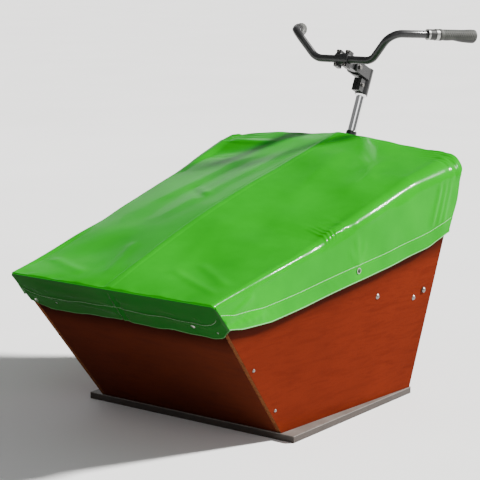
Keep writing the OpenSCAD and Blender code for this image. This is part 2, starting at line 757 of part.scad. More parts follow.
module cover_part(j0, j1, v0 = 0, v1 = 1) {
  n = j1 - j0 + 1;
  ring_pts = [for (i = [0:ns]) let (v = v0 + (v1 - v0) * i / ns)
    concat([for (j = [j0:j1]) sec_pt(j, v, 0)],
      [for (j = [j1:-1:j0]) sec_pt(j, v, cover_t)])];
  m = 2 * n;
  pts = [for (r = ring_pts, p = r) p];
  function at(i, j) = i * m + j % m;
  faces = concat(
    [for (i = [0:ns - 1], j = [0:m - 1])
      each [[at(i, j), at(i, j + 1), at(i + 1, j + 1)],
        [at(i, j), at(i + 1, j + 1), at(i + 1, j)]]],
    [for (j = [0:n - 2])
      each [[at(0, j), at(0, m - 1 - j), at(0, j + 1)],
        [at(0, j + 1), at(0, m - 1 - j), at(0, m - 2 - j)],
        [at(ns, j), at(ns, j + 1), at(ns, m - 1 - j)],
        [at(ns, j + 1), at(ns, m - 2 - j), at(ns, m - 1 - j)]]]);
  polyhedron(points = pts, faces = faces, convexity = 8);
}
green = [0.22, 0.80, 0.18];
module cover_top_panel() {
  color(green) cover_part(nv + na, nv + na + nt);
}
module cover_left_skirt() { color(green) cover_part(0, nv + na); }
module cover_right_skirt() {
  color(green) cover_part(nv + na + nt, sec_n());
}
flap_z = 603;
module cover_rear_flap() {
  yr = cy1 - cover_t;
  w = cov_half(yr) - cover_t;
  r = sh_r(yr) - cover_t;
  ze = edge_z(yr) - cover_t - 0.4;
  xc = w - r;
  xi = w - 6;
  zi = ze - r + sqrt(r * r - (r - 6) * (r - 6));
  a0 = acos((xi - xc) / r);
  pts = concat(
    [for (k = [0:6]) let (a = a0 + (90 - a0) * k / 6)
      [xc + (r - 0.4) * cos(a), ze - r + (r - 0.4) * sin(a)]],
    [for (k = [1:15]) let (x = xc * (1 - k / 8))
      [x, ze + crown(yr) * (1 - pow(x / xc, 2)) - 0.4]],
    [for (k = [0:6]) let (a = 90 - (90 - a0) * k / 6)
      [-xc - (r - 0.4) * cos(a), ze - r + (r - 0.4) * sin(a)]],
    [[-xi - 2, flap_z], [xi + 2, flap_z]]);
  color(green) translate([0, cy1, 0]) rotate([90, 0, 0])
    linear_extrude(cover_t) polygon(pts);
}
front_snap_xz = [[220, 336], [-220, 336], [294, 331], [-294, 331]];
skirt_gap = 1;
module cover_front_skirt() {
  color(green) front_frame() translate([0, 0, skirt_gap]) linear_extrude(cover_t)
    polygon([[-314, front_v(404.5)], [314, front_v(404.5)],
      [329, front_v(392)], [330, front_v(329)], [300, front_v(324)],
      [262, front_v(310)], [120, front_v(312)], [8, front_v(316)],
      [-8, front_v(316)], [-120, front_v(310)], [-262, front_v(310)],
      [-300, front_v(324)], [-330, front_v(329)], [-329, front_v(392)]]);
}
module front_skirt_snaps() {
  color([0.70, 0.72, 0.68]) front_frame() for (p = front_snap_xz)
    translate([p[0], front_v(p[1]), skirt_gap + cover_t + 0.02])
      dome_head(7, 2.6);
}
module side_snap_studs() {
  color([0.70, 0.72, 0.68]) both_sides()
    translate([side_uv(-40, 404)[0], side_uv(-40, 404)[1], 0.02]) {
      cylinder(r = 6.5, h = 1.5);
      translate([0, 0, 1.5]) cylinder(r = 3.5, h = 3);
    }
}
module cover_side_snaps() {
  yy = -50;
  zz = 407;
  color([0.70, 0.72, 0.68]) for (s = [1, -1]) scale_side(s)
    translate([cov_half(yy) + 0.1, yy, zz])
      rotate([0, 0, -atan(cov_half(yy + 1) - cov_half(yy))]) along_x() {
        washer(8, 1.6, 4.5);
        dome_head(4.45, 3);
      }
}

base_board();
base_top_sheet();
front_panel();
left_side_panel();
right_side_panel();
rear_panel();
front_corner_battens();
rear_corner_battens();
floor_battens();
side_panel_screws();
batten_screws();
left_bench_rail();
right_bench_rail();
bench_rail_bolts();
bench_rail_nuts();
bench_pivot_bolts();
bench_pivot_washers();
steering_bracket();
bracket_backing_plate();
bracket_bolts();
bracket_nuts();
head_tube();
upper_headset_cup();
lower_headset_cup();
cover_front_skirt();
front_skirt_snaps();
side_snap_studs();
steerer_tube();
lower_crown_race();
headset_locknut();
steering_arm();
steering_arm_bolt();
handlebar_post();
expander_wedge();
expander_bolt();
stem_clamp_body();
stem_clamp_bolt();
stem_base_ring();
stem_pivot_bolt();
stem_arm();
bar_faceplate();
faceplate_bolts();
handlebar_tube();
left_grip();
right_grip();
grip_collars();
grip_lock_rings();
bench_seat();
bench_hinge_plates();
hinge_plate_screws();
cover_top_panel();
cover_left_skirt();
cover_right_skirt();
cover_rear_flap();
cover_side_snaps();
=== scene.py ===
import json
import math
import random

import bmesh
import bpy
import numpy as np
from mathutils import Matrix, Vector


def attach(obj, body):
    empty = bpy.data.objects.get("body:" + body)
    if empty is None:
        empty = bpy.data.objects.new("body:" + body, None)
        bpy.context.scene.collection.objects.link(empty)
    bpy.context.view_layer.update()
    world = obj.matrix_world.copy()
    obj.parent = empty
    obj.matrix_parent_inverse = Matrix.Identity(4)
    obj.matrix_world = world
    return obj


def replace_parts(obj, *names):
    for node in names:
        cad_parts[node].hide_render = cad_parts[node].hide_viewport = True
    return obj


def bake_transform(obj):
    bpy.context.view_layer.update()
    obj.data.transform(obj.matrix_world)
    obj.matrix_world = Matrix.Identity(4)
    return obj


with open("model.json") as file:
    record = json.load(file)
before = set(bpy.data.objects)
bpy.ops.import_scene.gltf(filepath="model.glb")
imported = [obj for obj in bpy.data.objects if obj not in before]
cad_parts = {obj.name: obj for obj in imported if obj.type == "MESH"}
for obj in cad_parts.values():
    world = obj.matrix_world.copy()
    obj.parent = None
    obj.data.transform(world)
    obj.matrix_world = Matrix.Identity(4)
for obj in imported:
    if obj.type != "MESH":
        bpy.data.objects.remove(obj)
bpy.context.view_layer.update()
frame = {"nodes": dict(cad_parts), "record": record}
N = frame["nodes"]
MM = 0.001
scene = bpy.context.scene

# ------------------------------------------------------------------ materials


class Mat:
    """A small helper round one node material."""

    def __init__(self, name):
        self.m = bpy.data.materials.new(name)
        self.m.use_nodes = True
        self.t = self.m.node_tree
        self.t.nodes.clear()
        self.out = self.t.nodes.new("ShaderNodeOutputMaterial")
        self.b = self.t.nodes.new("ShaderNodeBsdfPrincipled")
        self.t.links.new(self.b.outputs[0], self.out.inputs[0])
        tc = self.t.nodes.new("ShaderNodeTexCoord")
        self.co, self.onrm = tc.outputs["Object"], tc.outputs["Normal"]

    def set(self, **kw):
        names = {
            "rough": "Roughness", "metal": "Metallic", "spec": "Specular IOR Level",
            "coat": "Coat Weight", "coat_rough": "Coat Roughness",
            "sheen": "Sheen Weight", "ior": "IOR", "color": "Base Color",
        }
        for k, v in kw.items():
            self.b.inputs[names[k]].default_value = v
        return self

    def node(self, kind, ins=None, **attrs):
        n = self.t.nodes.new(kind)
        for k, v in attrs.items():
            setattr(n, k, v)
        for k, v in (ins or {}).items():
            if isinstance(v, bpy.types.NodeSocket):
                self.t.links.new(v, n.inputs[k])
            else:
                n.inputs[k].default_value = v
        return n

    def mapped(self, scale, rot=(0, 0, 0)):
        return self.node("ShaderNodeMapping", {"Vector": self.co, "Scale": scale, "Rotation": rot}).outputs[0]

    def noise(self, scale, detail=4.0, rough=0.55, vec=None, distort=0.0):
        return self.node("ShaderNodeTexNoise", {
            "Vector": vec or self.co, "Scale": scale, "Detail": detail,
            "Roughness": rough, "Distortion": distort}).outputs["Fac"]

    def ramp(self, fac, stops, interp="LINEAR"):
        n = self.node("ShaderNodeValToRGB", {"Fac": fac})
        r = n.color_ramp
        r.interpolation = interp
        while len(r.elements) < len(stops):
            r.elements.new(0.5)
        for e, (p, c) in zip(r.elements, stops):
            e.position = p
            e.color = (*c, 1.0) if len(c) == 3 else c
        return n.outputs["Color"]

    def grey(self, fac, lo, hi, a=0.0, b=1.0):
        return self.node("ShaderNodeMapRange", {
            "Value": fac, "From Min": a, "From Max": b, "To Min": lo, "To Max": hi}).outputs["Result"]

    def math(self, op, a, b=0.0):
        return self.node("ShaderNodeMath", {0: a, 1: b}, operation=op).outputs[0]

    def mix(self, fac, a, b, blend="MIX"):
        n = self.node("ShaderNodeMix", data_type="RGBA", blend_type=blend)
        for i, v in ((0, fac), (6, a), (7, b)):
            if isinstance(v, bpy.types.NodeSocket):
                self.t.links.new(v, n.inputs[i])
            else:
                n.inputs[i].default_value = (*v, 1.0) if isinstance(v, tuple) and len(v) == 3 else v
        return n.outputs[2]

    def link(self, socket, name):
        self.t.links.new(socket, self.b.inputs[name])
        return self

    def bump(self, height, strength=0.3, dist=0.001, normal=None):
        ins = {"Height": height, "Strength": strength, "Distance": dist}
        if normal is not None:
            ins["Normal"] = normal
        return self.node("ShaderNodeBump", ins).outputs[0]

    def bevel(self, radius):
        return self.node("ShaderNodeBevel", {"Radius": radius}, samples=4).outputs[0]


def plywood(name, normal, tint=1.0, hem=None, painted_front_shade=0.0):
    """Film-faced plywood: red-brown film with a fine mesh print, layered bare edges."""
    m = Mat(name).set(rough=0.5, spec=0.0, coat=0.04, coat_rough=0.3)
    grain = m.noise(9.0, 6.0, 0.6, m.mapped((1.0, 1.0, 7.0)), 0.6)
    cloud = m.noise(2.6, 3.0, 0.5)
    speck = m.noise(240.0, 2.0, 0.6)
    a = (0.088 * tint, 0.0098 * tint, 0.0030 * tint)
    b = (0.116 * tint, 0.0140 * tint, 0.0040 * tint)
    c = (0.062 * tint, 0.0072 * tint, 0.0026 * tint)
    # painted_front_shade lifts green and blue to grey the darker copy used as painted shade on the front panel
    a, b, c = ((q[0], q[1] + painted_front_shade, q[2] + 0.7 * painted_front_shade) for q in (a, b, c))
    col = m.ramp(grain, [(0.30, a), (0.55, b), (0.75, a)])
    col = m.mix(m.grey(cloud, 0.0, 0.55, 0.35, 0.75), col, c)
    col = m.mix(m.grey(speck, 0.0, 0.35, 0.55, 0.75), col, (0.055 * tint, 0.0075 * tint, 0.003))
    if hem is not None:
        # painted shadow of the cover's hem: the film is darkened in a band below the hem line, darkest just under the
        # hem
        sep = m.node("ShaderNodeSeparateXYZ", {0: m.co}).outputs
        base, rise, y0 = hem
        line = m.math("ADD", m.math("MULTIPLY", m.math("MAXIMUM", m.math("SUBTRACT", sep[1], y0), 0.0), rise), base)
        under = m.math("ADD", m.math("SUBTRACT", line, sep[2]), m.math("MULTIPLY", m.noise(7.0, 3.0, 0.6), 0.016))
        hem_shadow_band = m.node("ShaderNodeMapRange", {"Value": under, "From Min": 0.0, "From Max": 0.068, "To Min": 0.86, "To Max": 0.0}, interpolation_type="SMOOTHSTEP").outputs["Result"]
        col = m.mix(hem_shadow_band, col, (0.014 * tint, 0.0030 * tint, 0.0016 * tint))
    # bare edge: thin layers of ply seen where the face turns away from the sheet
    dot = m.node("ShaderNodeVectorMath", {0: m.onrm, 1: normal}, operation="DOT_PRODUCT").outputs["Value"]
    edge = m.math("LESS_THAN", m.math("ABSOLUTE", dot), 0.8)
    depth = m.node("ShaderNodeVectorMath", {0: m.co, 1: normal}, operation="DOT_PRODUCT").outputs["Value"]
    ply = m.math("FRACT", m.math("MULTIPLY", depth, 1000.0 / 3.0))
    streak = m.noise(60.0, 3.0, 0.5)
    edge_col = m.mix(m.grey(ply, 0.0, 1.0, 0.45, 0.55), (0.17, 0.062, 0.024), (0.075, 0.024, 0.010))
    edge_col = m.mix(m.grey(streak, 0.0, 0.5, 0.4, 0.7), edge_col, (0.05, 0.018, 0.010))
    col = m.mix(edge, col, edge_col)
    m.link(col, "Base Color")
    rough = m.grey(m.noise(30.0, 4.0, 0.6), 0.26, 0.46)
    rough = m.math("ADD", rough, m.math("MULTIPLY", edge, 0.25))
    m.link(rough, "Roughness")
    wx = m.node("ShaderNodeTexWave", {"Vector": m.co, "Scale": 90.0, "Distortion": 0.4}, bands_direction="Z").outputs["Fac"]
    wy = m.node("ShaderNodeTexWave", {"Vector": m.co, "Scale": 90.0, "Distortion": 0.4}, bands_direction="DIAGONAL").outputs["Fac"]
    h = m.math("ADD", m.math("MULTIPLY", wx, wy), m.math("MULTIPLY", grain, 0.8))
    m.link(m.bump(h, 0.10, 0.0006, m.bevel(0.0012)), "Normal")
    return m.m


def board_black():
    m = Mat("base_board_ply").set(rough=0.5, spec=0.4)
    ply = m.noise(4.0, 4.0, 0.6, m.mapped((2.0, 2.0, 260.0)), 0.3)
    col = m.ramp(ply, [(0.30, (0.010, 0.008, 0.007)), (0.55, (0.035, 0.024, 0.018)), (0.72, (0.016, 0.012, 0.010))])
    m.link(col, "Base Color")
    m.link(m.grey(m.noise(25.0), 0.40, 0.65), "Roughness")
    m.link(m.bump(ply, 0.3, 0.0008, m.bevel(0.0015)), "Normal")
    return m.m


def sheet_grey():
    m = Mat("base_sheet_grey").set(rough=0.45, spec=0.5)
    n = m.noise(14.0, 5.0, 0.6)
    f = m.noise(220.0, 2.0, 0.5)
    col = m.ramp(n, [(0.3, (0.100, 0.086, 0.076)), (0.6, (0.150, 0.130, 0.116)), (0.8, (0.120, 0.104, 0.092))])
    col = m.mix(m.grey(f, 0.0, 0.25, 0.5, 0.7), col, (0.055, 0.046, 0.040))
    m.link(col, "Base Color")
    m.link(m.grey(n, 0.38, 0.58), "Roughness")
    m.link(m.bump(f, 0.12, 0.0004), "Normal")
    return m.m


def batten_wood():
    m = Mat("batten_spruce").set(rough=0.62, spec=0.35)
    ring = m.node("ShaderNodeTexWave", {"Vector": m.mapped((1.0, 0.25, 0.3), (0.1, 0.2, 0.0)), "Scale": 34.0, "Distortion": 5.0, "Detail": 3.0, "Detail Scale": 1.2}).outputs["Fac"]
    fib = m.noise(60.0, 4.0, 0.6, m.mapped((6.0, 1.0, 1.0)))
    col = m.ramp(ring, [(0.0, (0.50, 0.31, 0.15)), (0.6, (0.60, 0.40, 0.21)), (1.0, (0.36, 0.20, 0.09))])
    col = m.mix(m.grey(fib, 0.0, 0.35, 0.4, 0.7), col, (0.32, 0.19, 0.09))
    m.link(col, "Base Color")
    m.link(m.bump(fib, 0.25, 0.0008), "Normal")
    return m.m


def metal(name, color, rough, spread=0.08, bump=0.05, bevel=0.0006, scale=90.0):
    m = Mat(name).set(metal=1.0)
    n = m.noise(scale, 4.0, 0.6)
    w = m.noise(6.0, 3.0, 0.5)
    dark = tuple(c * 0.72 for c in color)
    col = m.mix(m.grey(w, 0.0, 0.6, 0.35, 0.75), color, dark)
    m.link(col, "Base Color")
    m.link(m.grey(n, max(0.02, rough - spread), rough + spread), "Roughness")
    m.link(m.bump(n, bump, 0.0003, m.bevel(bevel)), "Normal")
    return m.m


def black_paint(name="black_stove_enamel"):
    m = Mat(name).set(spec=0.24, coat=0.14, coat_rough=0.16)
    n = m.noise(160.0, 3.0, 0.55)
    w = m.noise(9.0, 3.0, 0.5)
    col = m.ramp(w, [(0.3, (0.010, 0.010, 0.011)), (0.6, (0.022, 0.022, 0.023)), (0.8, (0.014, 0.014, 0.014))])
    m.link(col, "Base Color")
    m.link(m.grey(n, 0.20, 0.36), "Roughness")
    m.link(m.bump(n, 0.03, 0.0003, m.bevel(0.0012)), "Normal")
    return m.m


def pvc(name="pvc_green", dark=1.0, pale=0.0):
    """Glossy coated fabric: strong green film over a fine woven scrim."""
    m = Mat(name).set(spec=0.03, coat=0.075, coat_rough=0.06)
    w = m.noise(3.2, 4.0, 0.55)
    s = m.noise(34.0, 3.0, 0.6)
    g = (0.0012 * dark, 0.262 * dark, 0.0016 * dark)
    h = (0.0030 * dark, 0.310 * dark, 0.0030 * dark)
    k = (0.0010 * dark, 0.205 * dark, 0.0014 * dark)
    g, h, k = (tuple(c + pale for c in q) for q in (g, h, k))
    col = m.ramp(w, [(0.30, k), (0.52, g), (0.72, h)])
    col = m.mix(m.grey(s, 0.0, 0.16, 0.5, 0.8), col, k)
    m.link(col, "Base Color")
    m.link(m.grey(m.noise(9.0, 3.0, 0.5), 0.16, 0.30), "Roughness")
    wx = m.node("ShaderNodeTexWave", {"Vector": m.co, "Scale": 170.0, "Distortion": 0.2}, bands_direction="X").outputs["Fac"]
    wy = m.node("ShaderNodeTexWave", {"Vector": m.co, "Scale": 170.0, "Distortion": 0.2}, bands_direction="Y").outputs["Fac"]
    hgt = m.math("ADD", m.math("MULTIPLY", m.math("ADD", wx, wy), 0.25), s)
    m.link(m.bump(hgt, 0.16, 0.0007), "Normal")
    return m.m


def thread(name="thread_pale", k=1.0):
    m = Mat(name).set(rough=0.6, spec=0.3, sheen=0.3)
    tw = m.noise(900.0, 2.0, 0.5)
    m.link(m.ramp(tw, [(0.3, (0.16 * k, 0.46 * k, 0.14 * k)), (0.7, (0.26 * k, 0.58 * k, 0.23 * k))]), "Base Color")
    m.link(m.bump(tw, 0.3, 0.0003), "Normal")
    return m.m


def grip_rubber():
    m = Mat("grip_rubber_grey").set(spec=0.3)
    n = m.noise(420.0, 2.0, 0.5)
    w = m.noise(26.0, 3.0, 0.5)
    col = m.ramp(w, [(0.3, (0.040, 0.042, 0.038)), (0.7, (0.068, 0.070, 0.064))])
    col = m.mix(m.grey(n, 0.0, 0.5, 0.5, 0.75), col, (0.018, 0.018, 0.016))
    m.link(col, "Base Color")
    m.link(m.grey(n, 0.55, 0.8), "Roughness")
    m.link(m.bump(n, 0.5, 0.0006), "Normal")
    return m.m


def soft_black(name="black_rubber"):
    m = Mat(name).set(spec=0.4)
    n = m.noise(260.0, 2.0, 0.5)
    m.link(m.ramp(m.noise(18.0), [(0.3, (0.010, 0.010, 0.010)), (0.7, (0.022, 0.022, 0.021))]), "Base Color")
    m.link(m.grey(n, 0.38, 0.60), "Roughness")
    m.link(m.bump(n, 0.25, 0.0004), "Normal")
    return m.m


side_n = Vector((1, -0.0697, -0.11)).normalized()
front_n = Vector((0, -0.7805, -0.6252)).normalized()
rk = math.tan(math.radians(11.2))
rear_n = Vector((0, math.cos(math.radians(11.2)), -math.sin(math.radians(11.2))))
bench_n = Vector((0, math.sin(math.radians(11.2)), math.cos(math.radians(11.2))))

# the side and front panels get a painted shadow band below the cover's hem line
M_left = plywood("film_ply_left", tuple(side_n), 1.0, (0.333, 0.128, -0.400))
M_right = plywood("film_ply_right", (-side_n.x, side_n.y, side_n.z), 1.0, (0.333, 0.128, -0.400))
# the front panel is a darker, greyer copy of the same film: painted shade on the face that turns down and away from the
# light
M_front = plywood("film_ply_front", tuple(front_n), 0.56, (0.312, 0.0, 0.0), 0.0045)
M_rear = plywood("film_ply_rear", tuple(rear_n))
M_bench = plywood("film_ply_bench", tuple(bench_n))
M_board = board_black()
M_sheet = sheet_grey()
M_batten = batten_wood()
M_zinc = metal("zinc_plate", (0.20, 0.19, 0.18), 0.38, 0.10, 0.10)
M_chrome = metal("chrome", (0.76, 0.765, 0.77), 0.07, 0.03, 0.02, 0.0004, 40.0)
M_alloy = metal("cast_alloy", (0.36, 0.36, 0.35), 0.36, 0.10, 0.10)
M_black = black_paint()
M_pvc = pvc()
# darker copies of the green fabric and of its hem for the front skirt: painted shade, as the front skirt faces down and
# away from the light
M_pvc_front_painted_shade = pvc("pvc_green_front_painted_shade", 0.20, 0.006)
M_hem = pvc("pvc_hem", 1.0, 0.13)
M_hem_front_painted_shade = pvc("pvc_hem_front_painted_shade", 0.30, 0.040)
M_thread = thread()
M_thread_front = thread("thread_shaded", 0.22)
M_grip = grip_rubber()
M_soft = soft_black()
M_plastic = soft_black("black_plastic")
def button():
    m = Mat("snap_with_dark_button").set(metal=0.6, spec=0.4)
    off = m.node("ShaderNodeVectorMath", {0: m.co, 1: (0.0, -0.050, 0.407)}, operation="SUBTRACT").outputs[0]
    flat = m.node("ShaderNodeVectorMath", {0: off, 1: (0.0, 1.0, 1.0)}, operation="MULTIPLY").outputs[0]
    d = m.node("ShaderNodeVectorMath", {0: flat}, operation="LENGTH").outputs["Value"]
    n = m.noise(300.0, 3.0, 0.55)
    ring = m.mix(m.grey(n, 0.0, 0.6), (0.34, 0.46, 0.30), (0.20, 0.28, 0.17))
    core = m.mix(m.grey(n, 0.0, 0.6), (0.012, 0.016, 0.011), (0.030, 0.034, 0.026))
    m.link(m.mix(m.math("LESS_THAN", d, 0.0060), ring, core), "Base Color")
    m.link(m.grey(n, 0.28, 0.48), "Roughness")
    m.link(m.bump(n, 0.08, 0.0003), "Normal")
    return m.m


M_button = button()
M_snap = metal("snap_nickel", (0.26, 0.28, 0.24), 0.28, 0.08, 0.06)

looks = {
    "film_plywood": None, "base_black": M_board, "grey_sheet": M_sheet,
    "batten_wood": M_batten, "zinc_steel": M_zinc, "black_paint": M_black,
    "chrome_steel": M_chrome, "alloy": M_alloy, "grip_rubber": M_grip,
    "black_plastic": M_plastic, "pvc_green": M_pvc, "snap_metal": M_snap,
}
ply_by_node = {
    "left_side_panel": M_left, "right_side_panel": M_right, "front_panel": M_front,
    "rear_panel": M_rear, "bench_seat": M_bench, "cover_side_snaps": M_button,
}
slot_of = {s["node"]: s.get("material_slot", s["node"]) for s in frame["record"]["subparts"]}
for name, obj in N.items():
    mat = ply_by_node.get(name) or looks[slot_of[name]]
    if not obj.material_slots:
        obj.data.materials.append(mat)
    for s in obj.material_slots:
        s.material = mat

# ------------------------------------------------------------------ the cover

CY0, CZ0, CY1 = -596.0, 409.0, 424.5
CL = CY1 - CY0
ZF = 18.0
FK = 310.0 / (405.0 - ZF)


def half_w(y, z):
    return 299 + 0.0697 * (y + 285) + 0.11 * (z - ZF)


def front_y(z):
    return -281 - FK * (z - ZF)


def rear_y(z):
    return 280 + rk * (z - ZF)


def wall_top(y):
    return 397 + 0.195 * (y + 591)


def crest(y):
    u = y - CY0
    return CZ0 + 0.245 * u + 0.0000251 * u * u


def crown(y):
    t = (y - CY0) / CL
    return 24.0 * t + 15.0 * math.sin(math.pi * min(1.0, max(0.0, t)))


def edge_z(y):
    return crest(y) - crown(y)


def cov_half(y):
    return half_w(y, wall_top(y)) + 8


def sh_r(y):
    return float(np.interp(y - CY0, [0, 300, 510, 700, 850, 950, CL], [10, 16, 24, 32, 40, 50, 62])) + 5.0 * math.exp(-((y + 135) / 60.0) ** 2)


def fall(side, y):
    """How much lower than the pattern each side's edge hangs."""
    u = y - CY0
    if side > 0:
        return float(np.interp(u, [0, 240, 400, 455, 482, 505, 540, 600, 720, 850, 960, CL],
                               [0, 1.5, 2.5, 4.2, 4.9, 4.0, 1.0, 0.0, -3, -9, -4, 0]))
    return float(np.interp(u, [0, 60, 120, 225, 340, 510, 700, 800, 860, 920, 970, CL],
                           [0, 2.5, 4.5, 6, 7, 10, 13.5, 16, 13, 4, -2, 0]))


HEM = [(-545, 341), (-500, 333), (-396, 333), (-250, 349), (-107, 368), (90, 395), (276, 425), (372, 454)]


def hem_z(y):
    return float(np.interp(y, [p[0] for p in HEM], [p[1] for p in HEM]))


def front_edge(z):
    return CY0 + (CZ0 - z) * 1.25 if z >= 405 else front_y(z)


def smooth(t):
    t = min(1.0, max(0.0, t))
    return t * t * (3 - 2 * t)


def rear_edge(z):
    return rear_y(z) + 4 + (CY1 - rear_y(660) - 4) * smooth((z - 590) / 45) + (rear_y(660) - rear_y(z) if z > 660 else 0)


def bell(d, w):
    return math.exp(-(d / w) ** 2)


SKIRT = [0, 0.8, 2.0, 3.6, 6, 10, 15, 21, 27, 33, 37.5, 40, 41.2, 42.4, 43.6, 45, 47, 50]
NUP, NARC, NTOP = 9, 16, 30
SEAM = [0.0, 1.0, 2.4, 5, 8, 11, 12.4, 13.2, 14.4, 17, 22, 29, 38]


def place(x, z, v, yn, k=None):
    y = (1 - v) * front_edge(z) + v * rear_edge(z)
    k = cov_half(y) / cov_half(yn) if k is None else k
    return x * k, y, z


def half_section(v, side):
    """Points of one half from the hem to the centre, with their tags."""
    yn = CY0 + CL * v
    w, r, ze = cov_half(yn), max(1.0, sh_r(yn)), edge_z(yn) - fall(side, yn)
    xc, zc = w - r, ze - r
    yh = yn + (1 - v) * 55 - v * 54
    zh = hem_z(yh)
    rows = []
    for d in SKIRT:
        rows.append((w, zh + d, "skirt", d))
    top = zh + SKIRT[-1]
    for i in range(1, NUP + 1):
        rows.append((w, top + (zc - top) * i / NUP, "upper", i / NUP))
    for i in range(1, NARC + 1):
        a = math.pi / 2 * i / NARC
        rows.append((xc + r * math.cos(a), zc + r * math.sin(a), "arc", i / NARC))
    xs = []
    for i in range(1, NTOP + 1):
        xs.append(xc + (SEAM[-1] - xc) * (i / NTOP))
    xs += list(reversed(SEAM[:-1]))
    for x in xs:
        tent = (1 - (x / xc) ** 2) * 0.55 + (1 - abs(x) / xc) * 0.45
        rows.append((x, ze + (crest(yn) - ze) * tent, "top", x))
    return rows, yn, zh


fine = [(y - CY0) / CL for y in np.arange(-196.0, -44.0, 3.4)] + [(y - CY0) / CL for y in np.arange(322.0, 418.0, 3.4)]
coarse = [x for x in np.linspace(0, 1, 118) if min(abs(x - f) for f in fine) > 0.0022]
VS = sorted(set([round(x, 5) for x in fine + coarse] + [0.0012, 0.0028, 0.9972, 0.9945]))

random.seed(7)
waves = [(random.uniform(0.6, 2.6), random.uniform(0, 2 * math.pi), random.uniform(0, 6.28)) for _ in range(14)]


def swell(x, y, size):
    """Smooth rolling surface, about -1..1, features about size mm across."""
    s = 0.0
    for i, (f, a, p) in enumerate(waves):
        s += math.sin((x * math.cos(a) + y * math.sin(a)) * f * 2 * math.pi / (size * 2.2) + p) / (1 + 0.5 * i)
    return s / 2.4


def crease(px, py, ax, ay, bx, by, width):
    """1 on the segment from a to b, falling off across it and at its ends."""
    dx, dy = bx - ax, by - ay
    l2 = dx * dx + dy * dy
    t = ((px - ax) * dx + (py - ay) * dy) / l2
    tc = min(1.0, max(0.0, t))
    d = math.hypot(px - ax - dx * tc, py - ay - dy * tc)
    ends = smooth(min(tc, 1 - tc) * 5 + 0.15)
    return math.exp(-(d / width) ** 2) * ends


def pleats(y, x0, step, count, width, amp, slant):
    """A row of short, narrow folds lying across the shoulder."""
    return amp * sum(bell(y - x0 - k * step - slant, width) * (1.0 - 0.13 * abs(k - count / 2.0)) for k in range(count))


